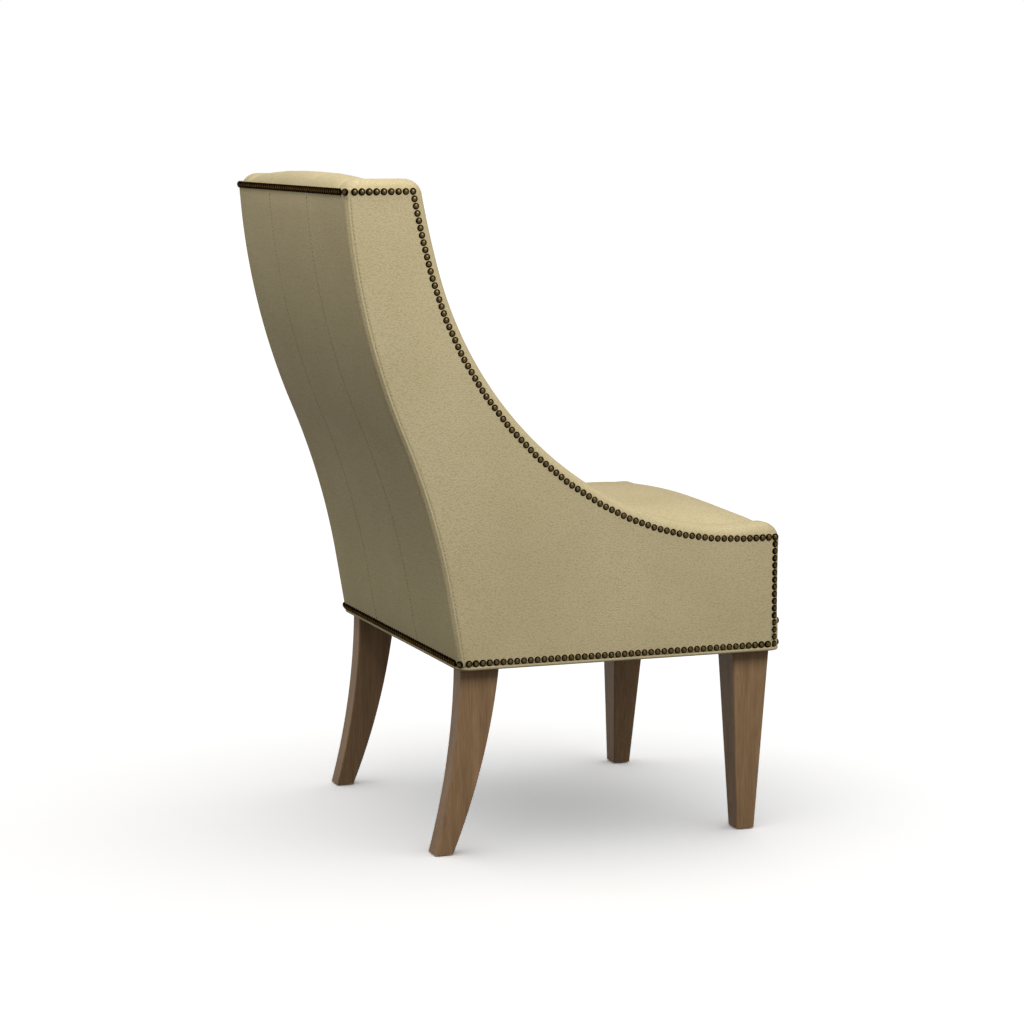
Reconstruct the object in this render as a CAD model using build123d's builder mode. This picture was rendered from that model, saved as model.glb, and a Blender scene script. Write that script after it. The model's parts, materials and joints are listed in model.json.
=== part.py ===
# Leather dining chair with a tall swept back, sloping arms and nailhead trim.
# A plywood and hardwood frame on four legs is webbed, padded with foam and covered in leather.
# The chair faces -Y, stands on Z = 0 and is centred on its own box. All sizes are millimetres.
# Side views measure depth back from the front leather and height up from the floor.

import os
from math import acos, asin, atan2, ceil, cos, degrees, radians, sin, sqrt, tan

from build123d import *

os.makedirs("parts", exist_ok=True)

# Covered body
width = 600.0  # across the outside leather
base_height = 292.0  # floor to the underside of the upholstery
leather = 1.5
side_pad = 4.0  # wadding under the side leather
end_pad = 6.5  # wadding under the front and outside back leather

# Arms and wings, as seen from the side
wing_thickness = 50.0
arm_top = 491.0
arm_level = 66.5  # depth at which the arm starts to climb
scoop_radius = 459.0
scoop_turn = 30.0
rise_radius = 571.0
rise_turn = 44.6
wing_radius = 1394.0
wing_turn = 4.4
wing_top = 1035.0
corner_radius = 27.0  # arm and wing corners in side view
roll_radius = 16.0  # outer edge of the padded roll
inner_roll_radius = 20.0
roll_turns = (0, 45, 90)  # degrees at which the roll's facets meet
facet_error = 0.9  # how far a straight facet may leave the arc it stands for

# Outside back, as seen from the side: straight, then hollow, then crowned
back_base = 535.5  # depth at the base
back_lean = 9.7  # degrees from upright
back_straight = 101.4
hollow_radius = 1159.0
hollow_turn = 13.25
crown_lean = 2.43  # degrees from upright where the crown reaches the top
crest_facet = 60.0  # height of the crown's last facet, under the top

# Inside back and seat
back_thickness = 85.0
back_crown = 12.0  # swell of the inside back at the middle
back_top_crown = 7.0
back_top_radius = 40.0  # front edge of the top
foam_ease = 0.5  # between the swelled foam and its leather
seat_front_edge = 28.0  # depth of the rounded front edge
seat_height = 491.0
seat_crown = 16.0

# Frame
panel_thickness = 18.0  # plywood sides
rail_height = 100.0
rail_thickness = 25.0
crest_height = 70.0
lower_back_height = 60.0
lower_back_gap = 30.0  # above the seat rails
block_span = 100.0
block_height = 40.0
webbing = 1.5
strap_width = 50.0
seat_strap_pitch = 92.0
cross_strap_count = 4
back_strap_pitch = 110.0
back_webbing = 3.0

# Legs
leg_width = 60.0
leg_depth = 63.0
foot_width = 34.5
foot_depth = 29.5
front_foot_setback = 31.0  # depth of the front foot's front face
rear_leg_depth = 63.0
rear_leg_setback = 463.0  # depth of the rear leg's front face under the frame
rear_foot_setback = 538.5
rear_leg_front_bow = 10.7
rear_leg_rear_bow = 9.4
leg_ease = 1.5
glide_diameter = 20.0
glide_height = 2.0
bolt_diameter = 8.0
bolt_grip = 32.0  # bolt length inside the leg
nut_width = 13.0
nut_height = 6.5
bolt_clearance = 0.4

# Trim
welt_height = 5.0
welt_proud = 2.0
welt_ease = 1.5
dust_cover = 1.0
leg_clearance = 0.5
nail_diameter = 9.6
nail_height = 2.6
nail_pitch = 11.0
nail_edge = 5.5  # nail centre to the leather's folded edge
roll_border = 18.5  # nail line to the edge of the roll
front_border = 11.0
base_border = 5.2  # nail line above the welt
front_band = 45.0  # height of the leather band along the front rail
seam_setback = 11.0  # side seam in front of the outside back
back_seam = 105.0  # seams of the back from the centre plane

# Heights and places that follow
half_width = width / 2
frame_bottom = base_height + dust_cover
rail_top = frame_bottom + rail_height
seat_floor = rail_top + 2 * webbing
welt_top = base_height + welt_height
band_top = welt_top + front_band
base_nails_z = welt_top + base_border
band_nails_z = band_top - nail_edge
arm_nails_z = arm_top - roll_border
top_nails_z = wing_top - roll_border
panel_edge = roll_border - nail_edge  # roll in front of the plywood and the side leather
frame_inset = leather + end_pad
frame_top = wing_top - panel_edge
panel_outer = half_width - leather - side_pad
panel_inner = panel_outer - panel_thickness
wing_inner = half_width - wing_thickness
rail_inner = panel_inner - rail_thickness
back_frame = frame_inset + rail_thickness
back_cavity = back_frame + back_webbing
rear_leg_rear = rear_leg_setback + rear_leg_depth
long_reach = 3 * width


def facet_count(radius, turn):
    """How many straight facets stand for an arc of some radius and turn in degrees."""
    return ceil(radians(turn) / (2 * acos(1 - facet_error / radius)))


def facets(arc, count):
    """Spots along an arc at which its facets meet."""
    return [arc @ (step / count) for step in range(count + 1)]


# The crown climbs from the end of the hollow to the top of the wing
hollow_lean = back_lean + hollow_turn
hollow_rise = hollow_radius * (sin(radians(hollow_lean)) - sin(radians(back_lean)))
crown_start = base_height + back_straight * cos(radians(back_lean)) + hollow_rise
crown_shift = sin(radians(hollow_lean)) - sin(radians(crown_lean))
crown_radius = (wing_top - crown_start) / crown_shift
crest_lean = degrees(asin(sin(radians(crown_lean)) + crest_facet / crown_radius))
crown_turn = hollow_lean - crest_lean
last_lean = radians(crest_lean + crown_lean) / 2


def back_line(inset):
    """Side-view line up the outside back, drawn in by an inset."""
    lean = radians(back_lean)
    below = base_height / cos(lean)
    foot = Vector(back_base, base_height) + Vector(-cos(lean), sin(lean)) * inset
    up = Vector(sin(lean), cos(lean))
    with BuildLine() as line:
        straight = Line(foot - up * below, foot + up * back_straight)
        hollow = JernArc(
            straight @ 1, straight % 1, hollow_radius + inset, -hollow_turn, mode=Mode.PRIVATE
        )
        crown = JernArc(hollow @ 1, hollow % 1, crown_radius - inset, crown_turn, mode=Mode.PRIVATE)
        Polyline(
            *facets(hollow, facet_count(hollow_radius, hollow_turn)),
            *facets(crown, facet_count(crown_radius, crown_turn))[1:],
            crown @ 1 + Vector(sin(last_lean), cos(last_lean)) * 2 * crest_facet,
        )
    return line.line


def back_spot(inset, height):
    """Depth of the outside back at a height, and how far it faces up there in radians."""
    for edge in back_line(inset).edges():
        low, high = sorted((edge @ 0, edge @ 1), key=lambda end: end.Y)
        if low.Y <= height <= high.Y:
            run = high - low
            return low.X + run.X * (height - low.Y) / run.Y, -atan2(run.X, run.Y)


def back_area(inset):
    """Side-view area in front of the outside back."""
    with BuildSketch() as area:
        with BuildLine():
            corners = add(back_line(inset)).vertices().sort_by(Axis.Y)
            low = corners[0]
            high = corners[-1]
            Polyline((high.X, high.Y), (-long_reach, high.Y), (-long_reach, low.Y), (low.X, low.Y))
        make_face()
    return area.sketch


def height_band(low, high):
    """Side-view band between two heights."""
    with BuildSketch() as band:
        with Locations((0, (low + high) / 2)):
            Rectangle(2 * long_reach, high - low)
    return band.sketch


def back_strip(near, far, low, high):
    """Side-view strip along the outside back, between two insets and two heights."""
    with BuildSketch() as strip:
        add(back_area(near))
        add(back_area(far), mode=Mode.SUBTRACT)
        add(height_band(low, high), mode=Mode.INTERSECT)
    return strip.sketch


def side_shape(inset, front, rear, floor):
    """Side-view shape, drawn in from the roll, the front and the outside back."""
    with BuildSketch() as shape:
        with BuildLine():
            level = Line((front, arm_top - inset), (arm_level, arm_top - inset))
            scoop = JernArc(
                level @ 1, level % 1, scoop_radius + inset, scoop_turn, mode=Mode.PRIVATE
            )
            rise = JernArc(scoop @ 1, scoop % 1, rise_radius + inset, rise_turn, mode=Mode.PRIVATE)
            wing = JernArc(rise @ 1, rise % 1, wing_radius + inset, wing_turn, mode=Mode.PRIVATE)
            beyond = wing @ 1 + (wing % 1) * wing_top
            Polyline(
                *facets(scoop, facet_count(scoop_radius, scoop_turn)),
                *facets(rise, facet_count(rise_radius, rise_turn))[1:],
                *facets(wing, facet_count(wing_radius, wing_turn))[1:],
                beyond,
                (long_reach, beyond.Y),
                (long_reach, floor),
                (front, floor),
                level @ 0,
            )
        make_face()
        add(back_area(rear), mode=Mode.INTERSECT)
        add(height_band(floor, wing_top - inset), mode=Mode.INTERSECT)
    return shape.sketch


def side_outline(inset, front, rear, floor):
    """The side-view shape with its arm and wing corners rounded."""
    with BuildSketch() as outline:
        add(side_shape(inset, front, rear, floor))
        arm_corner = outline.vertices().group_by(Axis.X)[0].sort_by(Axis.Y)[-1]
        wing_corners = outline.vertices().group_by(Axis.Y)[-1]
        fillet([arm_corner] + wing_corners, corner_radius - inset)
    return outline.sketch


# The back's profile fixes how deep the chair is, and the box's middle is the origin
top_nails_depth, top_nails_lean = back_spot(0, top_nails_z)
rear_reach = top_nails_depth + nail_height * cos(top_nails_lean)
front_y = (nail_height - rear_reach) / 2
side_view = Plane(origin=(0, front_y, 0), x_dir=(0, 1, 0), z_dir=(1, 0, 0))


def export_piece(piece, name):
    piece.label = name
    export_step(piece, f"parts/{name}.step")


def export_pair(piece, name):
    """Writes a right-hand piece and its mirror image on the left."""
    export_piece(piece, f"{name}_right")
    export_piece(mirror(piece, about=Plane.YZ), f"{name}_left")


def slab(outline, start, end):
    """Side-view outline carried across the chair from one X to another."""
    with BuildPart() as piece:
        with BuildSketch(side_view.offset(start)):
            add(outline)
        extrude(amount=end - start)
    return piece.part


def block(x_range, depth_range, z_range):
    """Plain board between two limits in each direction."""
    size = [limits[1] - limits[0] for limits in (x_range, depth_range, z_range)]
    with BuildPart() as piece:
        with Locations((x_range[0], front_y + depth_range[0], z_range[0])):
            Box(*size, align=(Align.MIN, Align.MIN, Align.MIN))
    return piece.part


# Plywood sides, cut to the swoop and inset from the padded roll
panel_outline = side_outline(panel_edge, frame_inset, frame_inset, frame_bottom)
with BuildPart() as side_frame:
    add(slab(panel_outline, -panel_outer, -panel_inner))
export_pair(side_frame.part, "side_frame")

# Front legs: a square post inside the frame, tapering on three faces to the foot
front_leg_x = -panel_inner + leg_width / 2
front_leg_y = front_y + frame_inset + leg_depth / 2
foot_x = -panel_inner + foot_width / 2
front_foot_y = front_y + front_foot_setback + foot_depth / 2
bolt_z = rail_top - rail_height / 2
post_corner_x = -panel_inner + leg_width
post_corner_y = front_y + frame_inset + leg_depth
front_rail_y = front_y + frame_inset + rail_thickness
rear_post_x = -panel_inner + foot_width
rear_post_y = front_y + rear_leg_setback
rear_rail_y = front_y + rear_leg_rear - rail_thickness


def bolt_plane(corner_x, corner_y, rail_y, toward):
    """Seat of a leg bolt on its corner block, looking into the leg at 45 degrees."""
    along = (block_span - rail_inner + toward * rail_y - corner_x - toward * corner_y) / 2
    seat = (corner_x + along, corner_y + toward * along, bolt_z)
    return Plane(origin=seat, x_dir=(0, 0, 1), z_dir=(-1, -toward, 0)), along * sqrt(2)


front_bolt, front_block_depth = bolt_plane(post_corner_x, post_corner_y, front_rail_y, 1)
rear_bolt, rear_block_depth = bolt_plane(rear_post_x, rear_post_y, rear_rail_y, -1)
upward = (Align.CENTER, Align.CENTER, Align.MIN)

with BuildPart() as front_leg:
    with BuildSketch(Plane.XZ.offset(-front_y)):
        with BuildLine():
            Polyline(
                (-panel_inner, glide_height),
                (-panel_inner + foot_width, glide_height),
                (post_corner_x, frame_bottom),
                (-panel_inner, frame_bottom),
                close=True,
            )
        make_face()
    extrude(amount=-frame_inset - leg_depth)
    with BuildSketch(side_view.offset(-panel_inner)):
        with BuildLine():
            Polyline(
                (front_foot_setback, glide_height),
                (front_foot_setback + foot_depth, glide_height),
                (frame_inset + leg_depth, frame_bottom),
                (frame_inset, frame_bottom),
                close=True,
            )
        make_face()
    extrude(amount=leg_width, mode=Mode.INTERSECT)
    chamfer(front_leg.edges().filter_by(lambda edge: abs((edge % 0.5).Z) > 0.5), leg_ease)
    with Locations((front_leg_x, front_leg_y, frame_bottom)):
        Box(leg_width, leg_depth, rail_height, align=upward)
    with Locations(front_bolt):
        Cylinder(
            (bolt_diameter + bolt_clearance) / 2,
            front_block_depth + bolt_grip + bolt_clearance,
            align=upward,
            mode=Mode.SUBTRACT,
        )
export_pair(front_leg.part, "front_leg")

# Rear legs: sabre legs that sweep back to the foot, with an upright post inside the frame
with BuildPart() as rear_leg:
    with BuildSketch(side_view.offset(-panel_inner)):
        with BuildLine():
            knee_front = (rear_leg_setback, frame_bottom)
            knee_rear = (rear_leg_rear, frame_bottom)
            toe = (rear_foot_setback, glide_height)
            heel = (rear_foot_setback + foot_depth, glide_height)
            SagittaArc(knee_front, toe, -rear_leg_front_bow)
            Line(toe, heel)
            SagittaArc(heel, knee_rear, rear_leg_rear_bow)
            Polyline(
                knee_rear,
                (rear_leg_rear, rail_top),
                (rear_leg_setback, rail_top),
                knee_front,
            )
        make_face()
    extrude(amount=foot_width)
    lower_edges = rear_leg.edges().filter_by(GeomType.CIRCLE)
    chamfer(lower_edges, leg_ease)
    with Locations(rear_bolt):
        Cylinder(
            (bolt_diameter + bolt_clearance) / 2,
            rear_block_depth + bolt_grip + bolt_clearance,
            align=upward,
            mode=Mode.SUBTRACT,
        )
export_pair(rear_leg.part, "rear_leg")

# Glides under the four feet
rear_foot_y = front_y + rear_foot_setback + foot_depth / 2
with BuildPart() as foot_glides:
    with BuildSketch():
        with Locations((foot_x, front_foot_y), (foot_x, rear_foot_y)):
            RegularPolygon(glide_diameter / 2, 8)
    extrude(amount=glide_height)
    mirror(about=Plane.YZ)
export_piece(foot_glides.part, "foot_glides")

# Seat rails between the leg posts
rail_band = (frame_bottom, rail_top)
front_rail = block(
    (post_corner_x, -post_corner_x), (frame_inset, frame_inset + rail_thickness), rail_band
)
export_piece(front_rail, "front_rail")
rear_rail = block(
    (rear_post_x, -rear_post_x), (rear_leg_rear - rail_thickness, rear_leg_rear), rail_band
)
export_piece(rear_rail, "rear_rail")
side_rail = block(
    (-panel_inner, -rail_inner), (frame_inset + leg_depth, rear_leg_setback), rail_band
)
export_pair(side_rail, "side_rail")


def corner_block(corner_x, corner_y, rail_y, toward, bolt):
    """Brace across a corner of the seat frame, notched round the leg post."""
    with BuildPart() as brace:
        with BuildSketch(Plane.XY.offset(bolt_z - block_height / 2)):
            with BuildLine():
                Polyline(
                    (corner_x, rail_y),
                    (block_span - rail_inner, rail_y),
                    (-rail_inner, rail_y + toward * block_span),
                    (-rail_inner, corner_y),
                    (corner_x, corner_y),
                    close=True,
                )
            make_face()
        extrude(amount=block_height)
        with Locations(bolt):
            Cylinder(
                (bolt_diameter + bolt_clearance) / 2,
                block_span,
                align=upward,
                mode=Mode.SUBTRACT,
            )
    return brace.part


front_brace = corner_block(post_corner_x, post_corner_y, front_rail_y, 1, front_bolt)
export_pair(front_brace, "front_corner_block")
rear_brace = corner_block(rear_post_x, rear_post_y, rear_rail_y, -1, rear_bolt)
export_pair(rear_brace, "rear_corner_block")


def leg_bolt(seat, block_depth):
    """Bolt through a corner block into a leg, with its hexagon nut on the block."""
    with BuildPart() as bolt:
        with Locations(seat):
            Cylinder(bolt_diameter / 2, block_depth + bolt_grip, align=upward)
        with BuildSketch(seat):
            RegularPolygon(nut_width / 2, 6, major_radius=False)
        extrude(amount=-nut_height)
    return bolt.part


with BuildPart() as leg_bolts:
    add(leg_bolt(front_bolt, front_block_depth))
    add(leg_bolt(rear_bolt, rear_block_depth))
    mirror(about=Plane.YZ)
export_piece(leg_bolts.part, "leg_bolts")

# Back rails between the plywood sides, shaped to the outside back
crest_strip = back_strip(frame_inset, back_frame, frame_top - crest_height, frame_top)
export_piece(slab(crest_strip, -panel_inner, panel_inner), "crest_rail")
lower_back_z = rail_top + lower_back_gap
lower_strip = back_strip(frame_inset, back_frame, lower_back_z, lower_back_z + lower_back_height)
export_piece(slab(lower_strip, -panel_inner, panel_inner), "lower_back_rail")

# Seat webbing in two layers: straps front to back, then straps across
strap_length = rear_leg_rear - frame_inset
cross_pitch = (strap_length - 2 * rail_thickness - strap_width) / (cross_strap_count - 1)
seat_middle_y = front_y + (frame_inset + rear_leg_rear) / 2
with BuildPart() as seat_straps:
    with Locations((0, seat_middle_y, rail_top)):
        with GridLocations(seat_strap_pitch, strap_length, 5, 1):
            Box(strap_width, strap_length, webbing, align=upward)
export_piece(seat_straps.part, "seat_straps")
with BuildPart() as cross_straps:
    with Locations((0, seat_middle_y, rail_top + webbing)):
        with GridLocations(width, cross_pitch, 1, cross_strap_count):
            Box(2 * panel_inner, strap_width, webbing, align=upward)
export_piece(cross_straps.part, "cross_straps")

# Back webbing from the lower rail to the crest
strap_strip = back_strip(back_frame, back_cavity, lower_back_z, frame_top)
with BuildPart() as back_webbing_group:
    with GridLocations(back_strap_pitch, width, 4, 1):
        add(slab(strap_strip, -strap_width / 2, strap_width / 2))
export_piece(back_webbing_group.part, "back_webbing")


def roll_steps(radius, inset):
    """Places across a faceted roll: from the face it turns from, and down from its crest."""
    reach = radius - inset
    steps = []
    for turn in roll_turns:
        angle = radians(turn)
        steps.append((inset + reach * (1 - cos(angle)), inset + reach * (1 - sin(angle))))
    return steps


def facet_counts(outline):
    """How many straight facets stand for each edge of an outline."""
    counts = []
    for edge in outline.face().outer_wire().order_edges():
        count = 1
        if edge.geom_type == GeomType.CIRCLE:
            count = facet_count(edge.radius, degrees(edge.length / edge.radius))
        counts.append(count)
    return counts


def faceted(outline, counts):
    """An outline with its arcs turned into straight facets."""
    spots = []
    for edge, count in zip(outline.face().outer_wire().order_edges(), counts):
        spots += [edge.position_at(step / count) for step in range(count)]
    with BuildSketch() as shape:
        with BuildLine():
            Polyline(*[(spot.X, spot.Y) for spot in spots], close=True)
        make_face()
    return shape.sketch


wing_counts = facet_counts(side_outline(0, 0, 0, welt_top))


def wing_body(inset):
    """Padded side with its arm and wing, rolled along every edge but the base."""
    stations = [(across - half_width, drop) for across, drop in roll_steps(roll_radius, inset)]
    inner_steps = reversed(roll_steps(inner_roll_radius, inset))
    stations += [(-wing_inner - across, drop) for across, drop in inner_steps]
    with BuildPart() as body:
        for x, drop in stations:
            with BuildSketch(side_view.offset(x)):
                add(faceted(side_outline(drop, drop, drop, welt_top), wing_counts))
        loft(ruled=True)
    return body.part


wing_outside = wing_body(0)
wing_inside = wing_body(leather)
with BuildPart() as sleeve:
    add(wing_outside)
    add(wing_inside, mode=Mode.SUBTRACT)

# Spaces that the frame fills, cut out of the padding and the covers
frame_slab = slab(panel_outline, -half_width, -panel_inner)
back_core = back_strip(-end_pad, back_cavity, 0, frame_top)
back_space = slab(back_core, -half_width, half_width)
wing_low = block((-half_width, -wing_inner), (0, back_base + wing_top), (0, seat_floor))

# Wadding over the plywood sides
with BuildPart() as side_wadding:
    add(wing_inside)
    add(slab(panel_outline, -half_width, -panel_outer), mode=Mode.INTERSECT)
export_pair(side_wadding.part, "side_wadding")

# Foam over the inside of each side, rolled over its edge
with BuildPart() as wing_foam:
    add(wing_inside)
    add(frame_slab, mode=Mode.SUBTRACT)
    add(back_space, mode=Mode.SUBTRACT)
    add(wing_low, mode=Mode.SUBTRACT)
export_pair(wing_foam.part, "wing_foam")

# Leather on the outside of each side, its edge folded under the nails
panel_shape = side_shape(panel_edge, front_border - nail_edge, seam_setback, welt_top)
panel_prism = slab(panel_shape, -2 * half_width, -panel_outer)
with BuildPart() as side_panel:
    add(sleeve.part)
    add(panel_prism, mode=Mode.INTERSECT)
export_pair(side_panel.part, "side_panel")

# Leather of the outside back in three panels, the outer two wrapped onto the sides
wrap_edge = half_width - roll_radius
skin_strip = back_strip(0, leather, welt_top, frame_top)
wrap_strip = back_strip(-end_pad, seam_setback, welt_top, frame_top)
with BuildPart() as outside_back:
    add(sleeve.part)
    add(slab(wrap_strip, -2 * half_width, -wrap_edge), mode=Mode.INTERSECT)
    add(slab(skin_strip, -wrap_edge, -back_seam))
export_pair(outside_back.part, "outside_back")
export_piece(slab(skin_strip, -back_seam, back_seam), "outside_back_centre")

# Wadding under the outside back leather
pad_strip = back_strip(leather, frame_inset, welt_top, frame_top)
with BuildPart() as back_wadding:
    add(wing_inside)
    add(slab(pad_strip, -half_width, -wrap_edge), mode=Mode.INTERSECT)
    mirror(about=Plane.YZ)
    add(slab(pad_strip, -wrap_edge, wrap_edge))
export_piece(back_wadding.part, "back_wadding")

# Leather over the roll and the inside of each side
front_low = block((-half_width, -wing_inner), (0, frame_inset), (0, band_top))
inner_low = block((-panel_inner, -wing_inner), (frame_inset, back_base + wing_top), (0, seat_floor))
with BuildPart() as wing_cover:
    add(sleeve.part)
    add(panel_prism, mode=Mode.SUBTRACT)
    add(slab(wrap_strip, -half_width, -wing_inner), mode=Mode.SUBTRACT)
    add(slab(back_core, -panel_inner, -wing_inner), mode=Mode.SUBTRACT)
    add(front_low, mode=Mode.SUBTRACT)
    add(inner_low, mode=Mode.SUBTRACT)
export_pair(wing_cover.part, "wing_cover")


def inside_back_body(inset):
    """Inside back with its rounded top: a level middle panel, and sides that slope to the wings."""
    top = wing_top + back_top_crown
    with BuildSketch() as section:
        add(back_strip(inset, back_thickness + back_crown - inset, seat_floor, top - inset))
        front_ridge = section.vertices().group_by(Axis.Y)[-1].sort_by(Axis.X)[0]
        fillet(front_ridge, back_top_radius - inset)
        rear_ridge = section.vertices().group_by(Axis.Y)[-1].sort_by(Axis.X)[-1]
        fillet(rear_ridge, corner_radius - inset)
    with BuildSketch() as limits:
        add(back_area(inset))
        add(height_band(seat_floor, top), mode=Mode.INTERSECT)
    slope = Vector(back_seam - wing_inner, back_crown, -back_top_crown)
    with BuildPart() as body:
        with BuildSketch(side_view.offset(-back_seam)):
            add(section.sketch)
        extrude(amount=slope.length, dir=slope)
        mirror(about=Plane.YZ)
        add(slab(section.sketch, -back_seam, back_seam))
        add(slab(limits.sketch, -wing_inner, wing_inner), mode=Mode.INTERSECT)
    return body.part


back_outside = inside_back_body(0)
back_inside = inside_back_body(leather)

# Foam of the back, on the webbing and over the crest rail
with BuildPart() as back_foam:
    add(inside_back_body(leather + foam_ease))
    add(back_space, mode=Mode.SUBTRACT)
export_piece(back_foam.part, "back_foam")

# Leather of the inside back in three panels, carried over the top to the nails
with BuildPart() as back_skin:
    add(back_outside)
    add(back_inside, mode=Mode.SUBTRACT)
    add(back_space, mode=Mode.SUBTRACT)
tall = (0, 2 * wing_top)
deep = (0, back_base + wing_top)
for name, limits in (
    ("inside_back_right", (-half_width, -back_seam)),
    ("inside_back_centre", (-back_seam, back_seam)),
    ("inside_back_left", (back_seam, half_width)),
):
    with BuildPart() as back_panel:
        add(back_skin.part)
        add(block(limits, deep, tall), mode=Mode.INTERSECT)
    export_piece(back_panel.part, name)


def seat_body(inset):
    """Tight seat: rounded front edge and a top crowned between the arms."""
    half = wing_inner - inset
    edge = seat_height - inset
    crest = edge + seat_crown
    with BuildPart() as body:
        with BuildSketch(side_view.offset(-half)) as profile:
            with BuildLine():
                Polyline(
                    (inset, seat_floor), (back_base, seat_floor), (back_base, crest), (inset, crest), close=True
                )
            make_face()
            front_edge = profile.vertices().group_by(Axis.X)[0].sort_by(Axis.Y)[-1]
            fillet(front_edge, seat_front_edge - inset)
        extrude(amount=2 * half)
        with BuildSketch(Plane.XZ.offset(-front_y)):
            with BuildLine():
                Polyline((-half, edge), (-half, seat_floor), (half, seat_floor), (half, edge))
                ThreePointArc((half, edge), (0, crest), (-half, edge))
            make_face()
        extrude(amount=-back_base, mode=Mode.INTERSECT)
    return body.part


seat_inside = seat_body(leather)
behind_seat = slab(back_strip(-end_pad, back_thickness, 0, 2 * wing_top), -half_width, half_width)

# Seat foam on the webbing, fitted to the inside back
with BuildPart() as seat_foam:
    add(seat_inside)
    add(back_outside, mode=Mode.SUBTRACT)
    add(behind_seat, mode=Mode.SUBTRACT)
export_piece(seat_foam.part, "seat_foam")

# Seat leather, tucked down beside the arms and drawn over the front to the band
with BuildPart() as seat_cover:
    add(seat_body(0))
    add(seat_inside, mode=Mode.SUBTRACT)
    add(back_outside, mode=Mode.SUBTRACT)
    add(behind_seat, mode=Mode.SUBTRACT)
    add(block((-wing_inner, wing_inner), (0, leather), (band_top, seat_floor)))
export_piece(seat_cover.part, "seat_cover")


# Front band and its wadding, turned round the corners like the arms
def front_layer(near, far, low, high):
    """Upright layer across the front between two depths, turned round both corners."""
    turn = [(half_width - across, front_y + drop) for across, drop in roll_steps(roll_radius, near)]
    corner = [(half_width - near, front_y + wing_thickness)] + turn
    with BuildPart() as layer:
        with BuildSketch(Plane.XY.offset(low)):
            with BuildLine():
                Polyline(*corner, *[(-x, y) for x, y in reversed(corner)], close=True)
            make_face()
            with Locations((0, front_y)):
                Rectangle(width, 2 * far, mode=Mode.INTERSECT)
        extrude(amount=high - low)
    return layer.part


with BuildPart() as front_wadding:
    add(front_layer(leather, frame_inset, band_top, seat_floor))
    add(wing_inside, mode=Mode.INTERSECT)
    mirror(about=Plane.YZ)
    add(front_layer(leather, frame_inset, welt_top, band_top))
    add(block((-wing_inner, wing_inner), (leather, frame_inset), (band_top, seat_floor)))
export_piece(front_wadding.part, "front_wadding")
with BuildPart() as front_band_leather:
    add(front_layer(0, front_border - nail_edge, welt_top, band_top))
    add(front_layer(leather, front_border, welt_top, band_top), mode=Mode.SUBTRACT)
export_piece(front_band_leather.part, "front_band")

# Welt along the base and the dust cover under the frame
lean_tan = tan(radians(back_lean))
base_rear = back_base - frame_inset / cos(radians(back_lean)) + welt_height * lean_tan
welt_rear = back_base + welt_height * lean_tan + welt_proud
inner_depth = base_rear - frame_inset
inner_middle_y = front_y + frame_inset + inner_depth / 2
with BuildPart() as base_welt:
    with BuildSketch(Plane.XY.offset(base_height)):
        with Locations((0, front_y + (welt_rear - welt_proud) / 2)):
            RectangleRounded(width + 2 * welt_proud, welt_rear + welt_proud, roll_radius + welt_proud)
    extrude(amount=welt_height)
    chamfer(base_welt.faces().filter_by(Plane.XY).edges(), welt_ease)
    with Locations((0, inner_middle_y, base_height)):
        Box(2 * panel_outer, inner_depth, welt_height, align=upward, mode=Mode.SUBTRACT)
export_piece(base_welt.part, "base_welt")

with BuildPart() as dust_sheet:
    with BuildSketch(Plane.XY.offset(base_height)):
        with Locations((0, inner_middle_y)):
            Rectangle(2 * panel_outer, inner_depth)
        slack = 2 * leg_clearance
        for side in (-1, 1):
            with Locations((side * front_leg_x, front_leg_y)):
                Rectangle(leg_width + slack, leg_depth + slack, mode=Mode.SUBTRACT)
            with Locations((side * foot_x, rear_post_y + rear_leg_depth / 2)):
                Rectangle(foot_width + slack, rear_leg_depth + slack, mode=Mode.SUBTRACT)
    extrude(amount=dust_cover)
export_piece(dust_sheet.part, "dust_cover")

# Decorative nails: one low six-sided dome, set in rows with its base flat on the leather
with BuildPart() as nail:
    with BuildSketch() as nail_base:
        RegularPolygon(nail_diameter / 2, 6)
    loft([nail_base.face(), Vertex(0, 0, nail_height)], ruled=True)


def seat_at(x, depth, height, normal):
    return Plane(origin=(x, front_y + depth, height), z_dir=normal)


def evenly(length):
    """Even shares from 0 to 1 along a row of nails."""
    count = max(1, round(length / nail_pitch))
    return [step / count for step in range(count + 1)]


def nail_row(start, end, normal):
    """Seats in a straight row between two places given as X, depth and height."""
    line = Vector(*end) - Vector(*start)
    return [seat_at(*(Vector(*start) + line * share), normal) for share in evenly(line.length)]


def corner_seat(height):
    """Seat at 45 degrees on a rear corner."""
    share = sqrt(0.5)
    depth, lean = back_spot(roll_radius * (1 - share), height)
    normal = (-share, share * cos(lean), share * sin(lean))
    return seat_at(-wrap_edge - roll_radius * share, depth, height, normal)


# Side nails: up the front edge, along the swoop and across the top of the wing
nail_shape = side_shape(roll_border, front_border, seam_setback, base_nails_z)
seam_line = Wire(back_line(seam_setback).edges())
away_from_seam = nail_shape.edges().filter_by(lambda edge: edge.distance_to(seam_line) > leather)
swoop = Wire(away_from_seam.filter_by(lambda edge: edge.center().X > front_border + leather))
swoop_spots = [swoop.position_at(share) for share in evenly(swoop.length)]
swoop_spots.sort(key=lambda spot: spot.Y)
swoop_top = swoop_spots[-1]
flat_side = (-1, 0, 0)
turn_in = radians(roll_turns[1] / 2)
front_nail_x = (roll_radius - front_border) * tan(turn_in) - half_width
front_column = nail_row(
    (front_nail_x, front_border, base_nails_z),
    (front_nail_x, front_border, arm_nails_z),
    (-cos(turn_in), -sin(turn_in), 0),
)
side_seats = front_column[:-1]
side_seats += [seat_at(-half_width, spot.X, spot.Y, flat_side) for spot in swoop_spots]
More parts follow.
